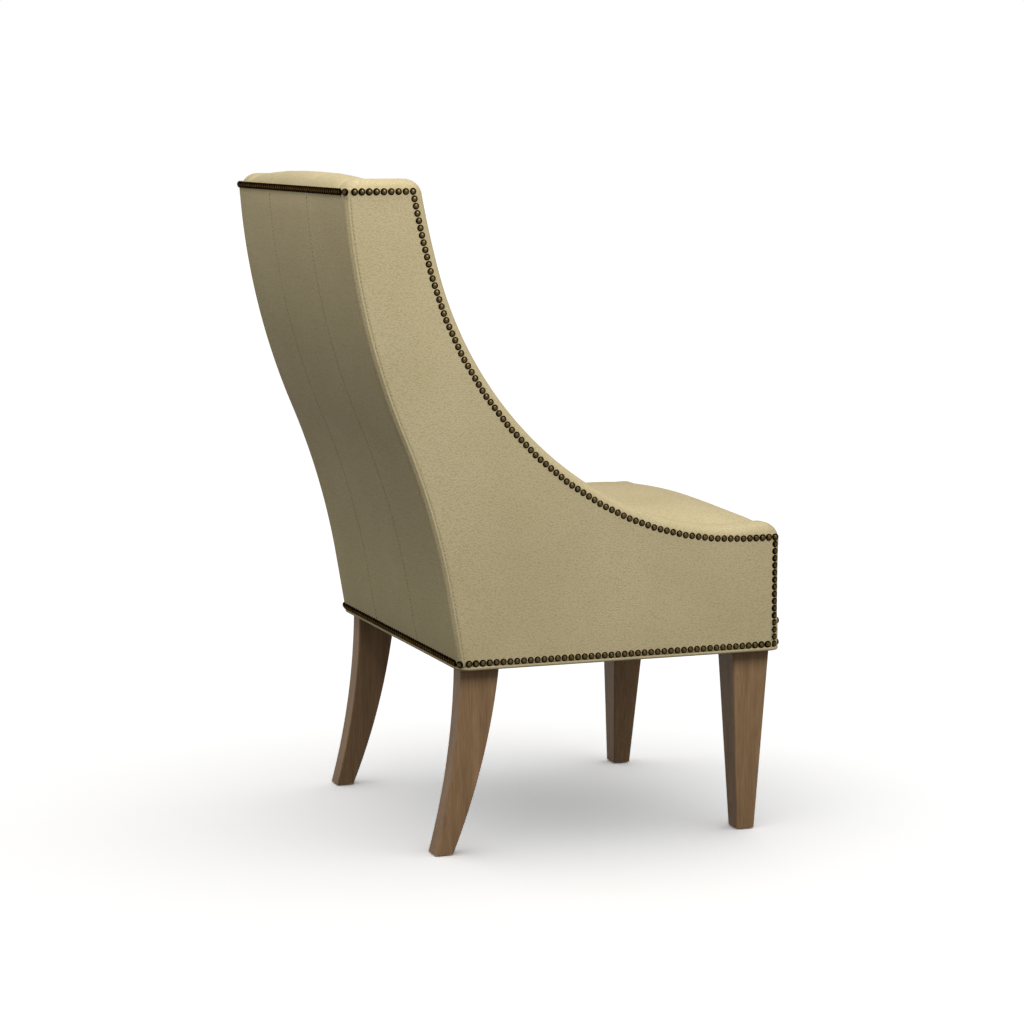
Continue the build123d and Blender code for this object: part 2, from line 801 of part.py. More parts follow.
top_rear = top_nails_depth - roll_radius
side_seats += nail_row(
    (-half_width, swoop_top.X, swoop_top.Y), (-half_width, top_rear, top_nails_z), flat_side
)[1:]
with BuildPart() as side_nails:
    with Locations(*side_seats):
        add(nail.part)
export_pair(side_nails.part, "side_nails")

# Base nails: along both sides, round the rear corners and across the outside back
base_nails_depth, base_lean = back_spot(0, base_nails_z)
base_seats = nail_row(
    (-half_width, front_border, base_nails_z),
    (-half_width, base_nails_depth - roll_radius, base_nails_z),
    flat_side,
)[1:]
base_seats.append(corner_seat(base_nails_z))
base_back_seats = nail_row(
    (-wrap_edge, base_nails_depth, base_nails_z),
    (wrap_edge, base_nails_depth, base_nails_z),
    (0, cos(base_lean), sin(base_lean)),
)
with BuildPart() as base_nails:
    with Locations(*base_seats):
        add(nail.part)
    mirror(about=Plane.YZ)
    with Locations(*base_back_seats):
        add(nail.part)
export_piece(base_nails.part, "base_nails")

# Top nails across the outside back, with one on each rear corner
top_back_seats = nail_row(
    (-wrap_edge, top_nails_depth, top_nails_z),
    (wrap_edge, top_nails_depth, top_nails_z),
    (0, cos(top_nails_lean), sin(top_nails_lean)),
)
with BuildPart() as top_nails:
    with Locations(corner_seat(top_nails_z)):
        add(nail.part)
    mirror(about=Plane.YZ)
    with Locations(*top_back_seats):
        add(nail.part)
export_piece(top_nails.part, "top_nails")

# Front nails in two rows along the band
for name, height in (("front_band_nails", band_nails_z), ("front_base_nails", base_nails_z)):
    with BuildPart() as front_nails:
        with Locations(*nail_row((-wrap_edge, 0, height), (wrap_edge, 0, height), (0, -1, 0))):
            add(nail.part)
    export_piece(front_nails.part, name)
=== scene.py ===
# %% [markdown]
# # A leather host chair with nailhead trim
# The chair's frame comes from the CAD model. On it this lesson puts what makes the chair look like
# leather and wood: padded covers, seams, domed nails, grain and light. Sizes are worked out in
# millimetres, as an upholsterer would measure them, and turned into metres at the last moment.

# %% Load the CAD frame
import json
import math

import bmesh
import bpy
import numpy as np
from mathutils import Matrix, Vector

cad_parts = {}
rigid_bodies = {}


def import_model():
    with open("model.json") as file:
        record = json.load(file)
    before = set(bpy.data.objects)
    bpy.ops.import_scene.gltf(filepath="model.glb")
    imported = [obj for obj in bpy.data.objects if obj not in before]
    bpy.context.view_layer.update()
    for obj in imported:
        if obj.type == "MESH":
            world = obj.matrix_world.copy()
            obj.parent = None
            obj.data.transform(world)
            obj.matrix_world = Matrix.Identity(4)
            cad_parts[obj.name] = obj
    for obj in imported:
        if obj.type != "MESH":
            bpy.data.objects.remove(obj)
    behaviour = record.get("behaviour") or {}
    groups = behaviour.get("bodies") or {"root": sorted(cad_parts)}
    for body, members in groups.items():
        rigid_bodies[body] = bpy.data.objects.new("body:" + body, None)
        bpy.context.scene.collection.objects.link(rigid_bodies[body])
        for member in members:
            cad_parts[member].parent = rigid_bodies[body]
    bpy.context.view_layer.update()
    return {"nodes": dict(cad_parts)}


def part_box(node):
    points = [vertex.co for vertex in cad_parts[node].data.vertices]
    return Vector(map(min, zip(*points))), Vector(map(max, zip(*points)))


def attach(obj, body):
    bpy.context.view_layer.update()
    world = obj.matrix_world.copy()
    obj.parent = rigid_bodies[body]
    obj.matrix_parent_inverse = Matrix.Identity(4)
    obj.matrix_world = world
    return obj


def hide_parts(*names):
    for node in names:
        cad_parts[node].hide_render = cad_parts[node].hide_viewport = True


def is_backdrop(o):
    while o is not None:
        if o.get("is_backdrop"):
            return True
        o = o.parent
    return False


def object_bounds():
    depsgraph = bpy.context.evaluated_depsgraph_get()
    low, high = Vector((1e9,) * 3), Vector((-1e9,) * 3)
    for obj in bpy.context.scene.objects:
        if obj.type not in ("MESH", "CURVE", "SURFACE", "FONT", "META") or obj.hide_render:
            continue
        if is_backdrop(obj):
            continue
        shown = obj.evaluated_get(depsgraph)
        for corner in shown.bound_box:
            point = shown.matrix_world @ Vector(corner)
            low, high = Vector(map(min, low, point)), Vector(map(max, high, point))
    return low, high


for leftover in list(bpy.data.objects):
    bpy.data.objects.remove(leftover)
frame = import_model()
nodes = frame["nodes"]
MM = 0.001
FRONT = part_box("front_band")[0].y
print("nodes:", len(nodes), "front leather at", round(FRONT, 4))

# %% [markdown]
# ## Writing shaders as sums
# A shader tree is a drawing of a formula, and could be wired up node by node. It reads better as the
# formula itself, so `Flow` wraps a socket and gives it Python's operators, and `Finish` holds a
# material and adds any other node.


# %% Sums on sockets
class Flow:
    """A value that flows out of a node, with operators that add Math nodes."""

    def __init__(self, tree, socket):
        self.tree = tree
        self.socket = socket

    def math(self, operation, first, second=0.0):
        return add_node(self.tree, "ShaderNodeMath", {"operation": operation}, {0: first, 1: second})

    def __add__(self, other):
        return self.math("ADD", self, other)

    def __mul__(self, other):
        return self.math("MULTIPLY", self, other)

    def __sub__(self, other):
        return self.math("SUBTRACT", self, other)

    def __rsub__(self, other):
        return self.math("SUBTRACT", other, self)

    __radd__ = __add__
    __rmul__ = __mul__


def add_node(tree, kind, settings, sockets, output=0):
    """Adds a node, sets it up, fills its sockets with values or links, and returns an output."""
    node = tree.nodes.new(kind)
    for key, value in settings.items():
        setattr(node, key, value)
    for key, value in sockets.items():
        if isinstance(value, Flow):
            tree.links.new(value.socket, node.inputs[key])
        else:
            node.inputs[key].default_value = value
    return Flow(tree, node.outputs[output])


# %% A finish
class Finish:
    """A material with one Principled surface, built up node by node."""

    def __init__(self, name, **sockets):
        self.material = bpy.data.materials.new(name)
        self.material.use_nodes = True
        self.tree = self.material.node_tree
        self.surface = self.tree.nodes["Principled BSDF"]
        for key, value in sockets.items():
            self.set(key.replace("_", " "), value)

    def set(self, socket, value):
        if isinstance(value, Flow):
            self.tree.links.new(value.socket, self.surface.inputs[socket])
        else:
            self.surface.inputs[socket].default_value = value

    def node(self, kind, settings, sockets, output=0):
        return add_node(self.tree, kind, settings, sockets, output)

    def place(self):
        return self.node("ShaderNodeTexCoord", {}, {}, "Object")

    def stretch(self, scale):
        return self.node("ShaderNodeMapping", {}, {"Vector": self.place(), "Scale": scale})

    def noise(self, scale, detail=3.0, vector=None):
        spot = vector or self.place()
        return self.node("ShaderNodeTexNoise", {}, {"Vector": spot, "Scale": scale, "Detail": detail})

    def mix(self, share, first, second):
        """A blend of two colours, by the colour sockets of the Mix node."""
        kinds = {"data_type": "RGBA"}
        return self.node("ShaderNodeMix", kinds, {0: share, 6: first, 7: second}, 2)

    def span(self, value, low, high):
        """0 up to the low value, 1 from the high one, and a straight rise between."""
        sockets = {"Value": value, "From Min": low, "From Max": high}
        return self.node("ShaderNodeMapRange", {}, sockets)

    def bump(self, height, strength, distance):
        sockets = {"Height": height, "Strength": strength, "Distance": distance}
        self.set("Normal", self.node("ShaderNodeBump", {}, sockets))


def rgb(red, green, blue):
    """A colour read off a screen from 0 to 255, as light."""
    shares = [value / 255 for value in (red, green, blue)]
    light = [((s + 0.055) / 1.055) ** 2.4 if s > 0.04045 else s / 12.92 for s in shares]
    return (*light, 1.0)


def darker(color, share):
    """The same colour with only a share of its light."""
    return tuple(value * share for value in color[:3]) + (1.0,)


print("a screen grey of 128 is", round(rgb(128, 128, 128)[0], 3), "of white light")

# %% [markdown]
# ## Leather
# The hide is a soft khaki with a tumbled pebble: low rounded grains about two and a half millimetres
# across, and soft creases between them. A picture of leather would stretch over the rolls. A smooth
# Voronoi texture keeps its size everywhere, noise bends the grains so that no two are alike, and a
# slower noise lets them rise and fall in groups. Creases are duller, and get painted shade: a darker
# colour where shadow would fall between the grains.

# %% The pebble and the puckers
PEBBLES_PER_METRE = 440.0
PEBBLE_STRETCH = (0.8, 0.8, 1.15)
BENDS_PER_METRE = 190.0
BEND_REACH = 4 * MM


def pebble(finish):
    """Rounded grains: 1 on the crown of a grain, and less towards the creases round it."""
    bend = {"Vector": finish.place(), "Scale": BENDS_PER_METRE, "Detail": 1.0}
    wander = finish.node("ShaderNodeTexNoise", {}, bend, "Color")
    shift = finish.node("ShaderNodeVectorMath", {"operation": "SCALE"}, {0: wander, "Scale": BEND_REACH})
    drawn = finish.stretch(PEBBLE_STRETCH)
    spot = finish.node("ShaderNodeVectorMath", {"operation": "ADD"}, {0: drawn, 1: shift})
    cells = {"Vector": spot, "Scale": PEBBLES_PER_METRE, "Smoothness": 0.35, "Randomness": 0.9}
    reach = finish.node("ShaderNodeTexVoronoi", {"feature": "SMOOTH_F1"}, cells)
    return 1.0 - reach * reach * 1.6


def seam_puckers(finish):
    """Small waves beside a seam that fade away from it. The UV map runs along the seam and away."""
    beside = finish.node("ShaderNodeUVMap", {}, {})
    along = finish.node("ShaderNodeSeparateXYZ", {}, {"Vector": beside})
    away = finish.node("ShaderNodeSeparateXYZ", {}, {"Vector": beside}, "Y")
    waver = finish.noise(38.0, 2.0)
    wave = along.math("SINE", along * 900.0 + away * 420.0 + waver * 14.0)
    fade = along.math("POWER", math.e, away * -110.0)
    return wave * fade * finish.span(waver, 0.35, 0.65)


print("a pebble is about", round(1 / MM / PEBBLES_PER_METRE, 1), "mm across")


# %% The hide
def make_leather(name, by_seam=False):
    finish = Finish(name, Specular_IOR_Level=0.012)
    grain = pebble(finish)
    group = finish.noise(160.0, 2.0)
    tone = finish.span(finish.noise(7.0, 2.0), 0.3, 0.7)
    hide = finish.mix(tone, rgb(169, 156, 121), rgb(176, 163, 129))
    crown_key_for_crease_shade = finish.span(grain, 0.25, 0.8)
    # Painted shade: the creases between grains get the darker colour rgb(143, 129, 95), and the crowns
    # keep the hide's colour.
    finish.set("Base Color", finish.mix(crown_key_for_crease_shade * 0.4 + 0.6, rgb(143, 129, 95), hide))
    finish.set("Roughness", crown_key_for_crease_shade * -0.08 + 0.64)
    height = grain * 0.6 + group * 0.25
    if by_seam:
        height = height + seam_puckers(finish) * 0.35
    finish.bump(height, 0.29, 1 * MM)
    return finish.material


leather = make_leather("khaki_leather")
seamed_leather = make_leather("khaki_leather_by_seam", by_seam=True)
print("finishes:", leather.name, seamed_leather.name)

# %% [markdown]
# ## Side view lines
# Every cover follows one of two lines drawn on the chair's side: the outline of arm and wing, and the
# line of the outside back. A pattern cutter would draw them as straights and arcs. A curve object could
# hold them, but a small turtle that walks them can also give any place along the way, moved to its
# left by any amount, which the covers need.


# %% A line that is walked
class Walk:
    """A side-view line of straights and arcs, in depth and height."""

    def __init__(self, depth, height, heading):
        self.spots = [np.array((depth, height), float)]
        self.turns = [math.radians(heading)]

    @classmethod
    def through(cls, spots):
        """A line through places that are already known."""
        line = cls(*spots[0], 0.0)
        line.spots = [np.array(spot) for spot in spots]
        gradient = np.gradient(np.array(line.spots), axis=0)
        line.turns = list(np.unwrap(np.arctan2(gradient[:, 1], gradient[:, 0])))
        return line

    def go(self, length):
        steps = max(2, int(abs(length) / 2))
        start = self.spots[-1]
        along = np.array((math.cos(self.turns[-1]), math.sin(self.turns[-1])))
        for step in range(1, steps + 1):
            self.spots.append(start + along * length * step / steps)
            self.turns.append(self.turns[-1])
        return self

    def turn(self, radius, degrees):
        sign = math.copysign(1, degrees)
        angle = self.turns[-1]
        centre = self.spots[-1] + sign * radius * np.array((-math.sin(angle), math.cos(angle)))
        steps = max(8, int(radius * abs(math.radians(degrees)) / 2))
        for step in range(1, steps + 1):
            now = angle + math.radians(degrees) * step / steps
            self.spots.append(centre + sign * radius * np.array((math.sin(now), -math.cos(now))))
            self.turns.append(now)
        return self

    def lengths(self):
        gaps = np.linalg.norm(np.diff(np.array(self.spots), axis=0), axis=1)
        return np.concatenate(([0.0], np.cumsum(gaps)))

    def at(self, where, left=0.0):
        """Depth and height at lengths along the line, moved to its left."""
        lengths = self.lengths()
        spots = np.array(self.spots)
        depth = np.interp(where, lengths, spots[:, 0])
        height = np.interp(where, lengths, spots[:, 1])
        angle = np.interp(where, lengths, np.array(self.turns))
        return depth - left * np.sin(angle), height + left * np.cos(angle)

    def where_height(self, height, left=0.0):
        """Length along a rising line at which it reaches a height."""
        lengths = self.lengths()
        return float(np.interp(height, self.at(lengths, left)[1], lengths))


print("a quarter turn of 10 mm is", round(Walk(0, 0, 0).turn(10, 90).lengths()[-1], 1), "mm long")

# %% The two lines
WELT_TOP = 297.0
BAND_TOP = 342.0
ARM_TOP = 491.0
ARM_FLAT = 66.5
WING_TOP = 1035.0
CORNER = 27.0
HALF = 300.0
INNER = 250.0
NAIL_LINE = 13.0
PANEL_TOP = WING_TOP - NAIL_LINE
OVER_THE_TOP = -95.0

back = Walk(535.5, 292.0, 80.3).go(101.4).turn(1159.0, -13.25).turn(1112.0, 22.95)
wing = Walk(0.0, WELT_TOP, 90.0).go(ARM_TOP - CORNER - WELT_TOP).turn(CORNER, -90.0).go(ARM_FLAT - CORNER)
wing.turn(459.0, 30.0).turn(571.0, 44.6).turn(1394.0, 4.4)
steep = math.degrees(wing.turns[-1])
climb = WING_TOP - wing.spots[-1][1] - CORNER * (1 - math.cos(math.radians(steep)))
wing.go(climb / math.sin(math.radians(steep))).turn(CORNER, -steep)
top_rear = float(back.at(back.where_height(WING_TOP - CORNER))[0])
wing.go(top_rear - CORNER - wing.spots[-1][0]).turn(CORNER, OVER_THE_TOP).go(6.0)
wing_length = wing.lengths()[-1]
print("arm and wing outline", round(wing_length), "mm, back line", round(back.lengths()[-1]), "mm")

# %% [markdown]
# ## Sheets
# A cover is a sheet of leather pulled over padding. It could be modelled by hand from a plane, but then
# no size of it would be known. Here it is a grid of worked-out places. `sheet_piece` turns a grid into
# a mesh, makes it face away from a place inside the chair, and gives it the thickness of leather.

# %% Making sheets
LEATHER_THICKNESS = 1.5


def world(x, depth, height):
    """Places given across, back from the front leather and up, all in millimetres."""
    x, depth, height = np.broadcast_arrays(x, depth, height)
    return np.stack((x * MM, FRONT + depth * MM, height * MM), axis=-1)


def new_piece(name, mesh, material=None):
    piece = bpy.data.objects.new(name, mesh)
    bpy.context.scene.collection.objects.link(piece)
    if material:
        mesh.materials.clear()
        mesh.materials.append(material)
    return piece


def grid_faces(rows, columns):
    """Four-sided faces between the points of a grid."""
    index = np.arange(rows * columns).reshape(rows, columns)
    faces = np.stack((index[:-1, :-1], index[:-1, 1:], index[1:, 1:], index[1:, :-1]), axis=-1)
    return faces.reshape(-1, 4)


def sheet_piece(name, grid, material, inside, uv=None):
    faces = grid_faces(*grid.shape[:2])
    spots = grid.reshape(-1, 3)
    corners = spots[faces]
    normals = np.cross(corners[:, 2] - corners[:, 0], corners[:, 3] - corners[:, 1])
    outward = corners.mean(axis=1) - world(*inside)
    if np.sum(normals * outward) < 0:
        faces = faces[:, ::-1]
    mesh = bpy.data.meshes.new(name)
    mesh.from_pydata(spots.tolist(), [], faces.tolist())
    if uv is not None:
        layer = mesh.uv_layers.new(name="UVMap")
        flat = uv.reshape(-1, 2)[faces.ravel()]
        layer.data.foreach_set("uv", flat.astype(np.float32).ravel())
    mesh.shade_smooth()
    piece = new_piece(name, mesh, material)
    solid = piece.modifiers.new("thickness", "SOLIDIFY")
    solid.thickness = LEATHER_THICKNESS * MM
    solid.offset = -1.0
    return piece


print("leather is", LEATHER_THICKNESS, "mm thick")


# %% Dressing and shaping sheets
def cover(piece, *stands_for):
    """Attaches a cover to the frame, and hides the CAD pieces that it stands for."""
    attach(piece, "root")
    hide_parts(*stands_for)
    print(piece.name, len(piece.data.polygons), "faces")


def smooth(value):
    """A soft step from 0 to 1."""
    share = np.clip(value, 0.0, 1.0)
    return share * share * (3 - 2 * share)


def bell(away, width):
    """1 at no distance, fading to 0 on both sides."""
    return np.exp(-((away / width) ** 2))


def crease_drop(across, start, width):
    """0 up to a place across the chair, then down a quarter circle to 1, where leather tucks in."""
    share = np.clip((np.abs(across) - start) / width, 0.0, 1.0)
    return 1.0 - np.sqrt(1.0 - share**2 * 0.999)


print("a quarter of the way up, a soft step has reached", smooth(0.25))

# %% [markdown]
# ## Arms and wings
# Foam rolled over the plywood edge makes the arm, and the same roll climbs the wing and runs over the
# top. A bevelled curve could sweep one section, but this one changes on the way, from a square front
# edge to a flattened arch about 50 mm wide. So both sections are drawn, blended along the outline, and
# carried on over the inside face to where seat and back hide it.

# %% The section of the roll
SIDES = ((-1, "right"), (1, "left"))
ROLL_MIDDLE = (HALF + INNER) / 2
ROLL_HALF = (HALF - INNER) / 2
ROLL_RISE = 20.0
FRONT_ROUND = 16.0
FRONT_FACE = HALF - 0.5
OUTER_POWER = 2 / 2.5
INNER_POWER = 2 / 4.5


def roll_section():
    """Two sections from the outside inwards: the square front edge and the padded roll."""
    quarter = np.linspace(0.0, math.pi / 2, 17)
    roll = [(-295.5, -32.0), (-298.3, -27.0), (-FRONT_FACE, -23.0)]
    for a in quarter:
        rise = -ROLL_RISE + ROLL_RISE * math.sin(a) ** OUTER_POWER
        roll.append((-ROLL_MIDDLE - ROLL_HALF * math.cos(a) ** OUTER_POWER, rise))
    for a in quarter[1:-1]:
        rise = -ROLL_RISE + ROLL_RISE * math.cos(a) ** INNER_POWER
        roll.append((-ROLL_MIDDLE + ROLL_HALF * math.sin(a) ** INNER_POWER, rise))
    roll.append((-INNER, -ROLL_RISE))
    front = [(-296.5, -32.0), (-298.7, -26.0), (-FRONT_FACE, -20.0)]
    for a in quarter:
        across = FRONT_FACE - FRONT_ROUND + FRONT_ROUND * math.cos(a)
        front.append((-across, -FRONT_ROUND + FRONT_ROUND * math.sin(a)))
    for a in quarter[1:]:
        across = INNER + ROLL_RISE - ROLL_RISE * math.sin(a)
        front.append((-across, -ROLL_RISE + ROLL_RISE * math.cos(a)))
    tail = [(-INNER, -25.0)]
    return np.array(front + tail), np.array(roll + tail)


print("roll", 2 * ROLL_HALF, "mm wide,", len(roll_section()[0]), "points round it")


# %% The rolls
def inner_foot(lengths):
    """Depth and height where the inside face ends, under the seat's edge and behind the back."""
    seat_end = 560.0
    marks = (seat_end, 700.0, 935.0, 1080.0, 1150.0, wing_length)
    height = np.interp(lengths, marks, (400.0, 560.0, 760.0, 900.0, 960.0, 990.0))
    up_back = np.interp(height, back.at(back.lengths())[1], back.lengths())
    depth = back.at(up_back, 40.0)[0]
    beside_seat = np.interp(lengths, (lengths[0], 209.0, seat_end), (60.0, 90.0, depth.min()))
    return np.where(lengths < seat_end, beside_seat, depth), height


def wing_grid(side):
    lengths = np.linspace(BAND_TOP - WELT_TOP, wing_length, 420)
    front, roll = roll_section()
    share = smooth((lengths - 150.0) / 110.0)[:, None, None]
    section = front * (1 - share) + roll * share
    swell = 4.0 * bell(lengths - 212.0, 42.0)
    crest = np.clip((section[:, :, 1] + ROLL_RISE) / ROLL_RISE, 0.0, 1.0)
    depth, height = wing.at(lengths[:, None], section[:, :, 1] + swell[:, None] * crest)
    foot_depth, foot_height = inner_foot(lengths)
    fills = np.linspace(0.0, 1.0, 10)[1:]
    fill_depth = depth[:, -1:] * (1 - fills) + foot_depth[:, None] * fills
    fill_height = height[:, -1:] * (1 - fills) + foot_height[:, None] * fills
    across = np.concatenate((section[:, :, 0], np.full_like(fill_depth, -INNER)), axis=1)
    depth = np.concatenate((depth, fill_depth), axis=1)
    height = np.concatenate((height, fill_height), axis=1)
    return world(-side * across, depth, height)


for side, name in SIDES:
    within = (side * ROLL_MIDDLE, 300.0, 420.0)
    roll_piece = sheet_piece(f"wing_roll_{name}", wing_grid(side), leather, within)
    cover(roll_piece, f"wing_cover_{name}", f"wing_foam_{name}")

# %% [markdown]
# ## Side panels
# The outside of each side is one flat hide over thin wadding. It could be cut from a plane, but its
# edges have to meet the roll and the back exactly. So it is blended between the two lines that bound
# it: up the front and along the swoop, and up the seam by the outside back. A UV map runs along that
# seam and away from it, which the leather uses for the small puckers that the stitching pulls up.

# %% How far out the side stands
REAR_ROUND = 18.0
SQUARENESS = 3.5
SIDE_SEAM = 5.6
CREASE = 8.2


def outer_x(depth, behind):
    """Half the chair's width, drawn in where the front edge and the rear corner turn."""
    turn_front = np.clip(FRONT_ROUND - depth, 0.0, FRONT_ROUND)
    turn_rear = np.clip(REAR_ROUND - behind, 0.0, REAR_ROUND)
    drawn = FRONT_ROUND - np.sqrt(FRONT_ROUND**2 - turn_front**2)
    rounded = REAR_ROUND * (1.0 - (1.0 - (turn_rear / REAR_ROUND) ** SQUARENESS) ** (1 / SQUARENESS))
    return HALF + 0.4 - drawn - rounded - 0.9 * bell(behind - CREASE, 2.0)


print("the side stands", round(float(outer_x(HALF, HALF)), 1), "mm out, away from its edges")

# %% The side leather
FRONT_EDGE = 5.5
SWOOP_START = 212.3


def front_line(climb):
    """The panel's edge under the nails, up the front and along the swoop, at shares of its length."""
    lengths = np.linspace(0.0, wing_length, 3000)
    line = np.stack(wing.at(lengths, -NAIL_LINE), axis=-1)
    line[:, 1] = np.minimum(line[:, 1], PANEL_TOP)
    arm = np.argmax(lengths > SWOOP_START)
    top = np.argmax(line[:, 1] >= PANEL_TOP - 0.01)
    foot = [(FRONT_EDGE, WELT_TOP), (FRONT_EDGE, ARM_TOP - NAIL_LINE)]
    swoop = np.concatenate((foot, line[arm:top], [(line[top, 0], PANEL_TOP)]))
    gaps = np.concatenate(([0.0], np.cumsum(np.linalg.norm(np.diff(swoop, axis=0), axis=1))))
    return np.stack([np.interp(climb * gaps[-1], gaps, swoop[:, axis]) for axis in (0, 1)], axis=-1)


def side_grid(side):
    climb = np.linspace(0.0, 1.0, 190)
    reach = 1.0 - np.linspace(1.0, 0.0, 170) ** 1.35
    low = back.where_height(WELT_TOP, SIDE_SEAM)
    high = back.where_height(PANEL_TOP, SIDE_SEAM)
    rear = np.stack(back.at(np.linspace(low, high, len(climb)), SIDE_SEAM), axis=-1)
    share = reach[None, :, None]
    flat = (1 - share) * front_line(climb)[:, None] + share * rear[:, None]
    depth = flat[:, :, 0]
    height = flat[:, :, 1]
    lean = np.interp(height, rear[:, 1], rear[:, 0])
    from_seam = (lean - depth) * 0.96
    bulge = 1.6 * smooth(from_seam / 90.0) * smooth((depth - 12.0) / 70.0)
    across = outer_x(depth, SIDE_SEAM + from_seam) + bulge
    uv = np.stack((height * MM, from_seam * MM), axis=-1)
    return world(side * across, depth, height), uv


for side, name in SIDES:
    grid, uv = side_grid(side)
    panel = sheet_piece(f"side_leather_{name}", grid, seamed_leather, (0.0, 400.0, 500.0), uv)
    cover(panel, f"side_panel_{name}", f"side_wadding_{name}")

# %% [markdown]
# ## Outside back
# Three hides are sewn edge to edge and wrapped round both rear corners to a seam on each side. Three
# sheets could be butted together, but a hairline gap would show. One sheet follows the back line up and
# a flat U across. At the two sewn seams it dips a little, and between them the wadding swells it.

# %% Seams and swell of the back
BACK_SEAM = 105.0
BACK_FLAT = HALF - REAR_ROUND


def dip(x, width):
    """1 on the two seams of the back, fading to 0 beside them."""
    return bell(np.minimum(np.abs(x - BACK_SEAM), np.abs(x + BACK_SEAM)), width)


def across_back(limit):
    """Places across the back, closer together at the seams."""
    plain = np.linspace(-limit, limit, 90)
    fine = np.linspace(-7.0, 7.0, 29)
    return np.unique(np.concatenate((plain, BACK_SEAM + fine, -BACK_SEAM - fine)))


def back_proud(x, lengths):
    """How far the outside back stands out: wadding between the seams, a hairline dip along them."""
    low = back.where_height(WELT_TOP)
    high = back.where_height(PANEL_TOP)
    ends = smooth((lengths - low) / 40.0) * smooth((high - lengths) / 40.0)
    swell = 1.5 * np.cos(np.clip(x / BACK_FLAT, -1, 1) * math.pi / 2) - 0.8 * dip(x, 1.3)
    return swell * ends + 0.3


print("places across the back:", len(across_back(BACK_FLAT)))

# %% The back leather
# The turned edge by the side seam is a small fold: places across, and how far each lies inside the back.
SEAM_FOLD = ((297.6, 8.5), (299.0, 9.0), (299.9, 8.6), (300.2, 7.5), (299.7, 6.2), (298.8, 5.1))
FOLD_END = 4.6


def outside_back_grid():
    fold = np.array(SEAM_FOLD)
    power = 2 / SQUARENESS
    first = math.asin(((REAR_ROUND - FOLD_END) / REAR_ROUND) ** (1 / power))
    turn = np.linspace(first, math.pi / 2, 20)[:-1]
    left_x = np.concatenate((-fold[:, 0], -BACK_FLAT - REAR_ROUND * np.cos(turn) ** power))
    left_in = np.concatenate((fold[:, 1], REAR_ROUND - REAR_ROUND * np.sin(turn) ** power))
    middle = across_back(BACK_FLAT)
    across = np.concatenate((left_x, middle, -left_x[::-1]))
    inset = np.concatenate((left_in, np.zeros_like(middle), left_in[::-1]))
    lengths = np.linspace(back.where_height(WELT_TOP), back.where_height(PANEL_TOP), 210)[:, None]
    depth, height = back.at(lengths, inset[None, :] - back_proud(across[None, :], lengths))
    return world(across[None, :], depth, height)


back_leather = sheet_piece("outside_back_leather", outside_back_grid(), leather, (0.0, 400.0, 640.0))
cover(back_leather, "outside_back_right", "outside_back_centre", "outside_back_left", "back_wadding")

# %% [markdown]
# ## Inside back
# The sitter leans on three sewn panels over thick foam. They crown towards the middle, dip at the
# seams, tuck into a crease beside each wing, and run over the top to the nails behind. Sculpting could
# give such a cushion, but a formula keeps it in step with the wings and the nails.

# %% The inside back
# A tuck is where the leather starts to turn down beside the wing or arm, and over what width.
BACK_TUCK = (226.0, 27.0)
BACK_THICK = 85.0
BACK_TOP_ROUND = 38.0


def inside_back_line():
    """Up the front of the cushion, which follows the back line, and over its top to the rear."""
    low = back.where_height(420.0, BACK_THICK)
    shoulder = back.where_height(WING_TOP - BACK_TOP_ROUND, BACK_THICK)
    front = list(zip(*back.at(np.linspace(low, shoulder, 150), BACK_THICK)))
    top_turn = math.degrees(np.interp(shoulder, back.lengths(), np.array(back.turns)))
    over = Walk(*front[-1], top_turn).turn(BACK_TOP_ROUND, -top_turn)
    over.go(top_rear - CORNER - over.spots[-1][0]).turn(CORNER, OVER_THE_TOP).go(5.0)
    return Walk.through(front + over.spots[1:])


def inside_back_grid():
    across = across_back(INNER + 3.0)
    line = inside_back_line()
    length = line.lengths()[-1]
    lengths = np.linspace(0.0, length, 230)[:, None]
    to_rear = length - lengths
    swell = 1.0 - np.minimum(np.abs(across / INNER), 1.0) ** 2.6
    crown = (10.5 + 1.5 * smooth((to_rear - 130.0) / 160.0)) * smooth(to_rear / 60.0)
    tuck = 17.0 * crease_drop(across, *BACK_TUCK) * smooth((to_rear - 12.0) / 60.0)
    groove = (2.6 * dip(across, 1.6) - 1.1 * dip(across, 5.0)) * smooth(to_rear / 9.0)
    depth, height = line.at(lengths, crown * swell[None, :] - tuck - groove)
    return world(across[None, :], depth, height)


inside_back_places = inside_back_grid()
inside_back = sheet_piece("inside_back_leather", inside_back_places, leather, (0.0, 640.0, 700.0))
cover(inside_back, "inside_back_right", "inside_back_centre", "inside_back_left", "back_foam")

# %% [markdown]
# ## Seat
# A tight seat has no loose cushion: leather is drawn over crowned foam and down to the front band. A
# rounded box would look like a loose cushion, so the seat is a sheet too. Its profile runs up the
# front, round the edge and back to the crease, sinks towards the rear, and tucks in beside the arms.

# %% The seat
SEAT_FRONT = 464.0
SEAT_FOOT = BAND_TOP - 4.0
SEAT_TUCK = (212.0, 40.0)


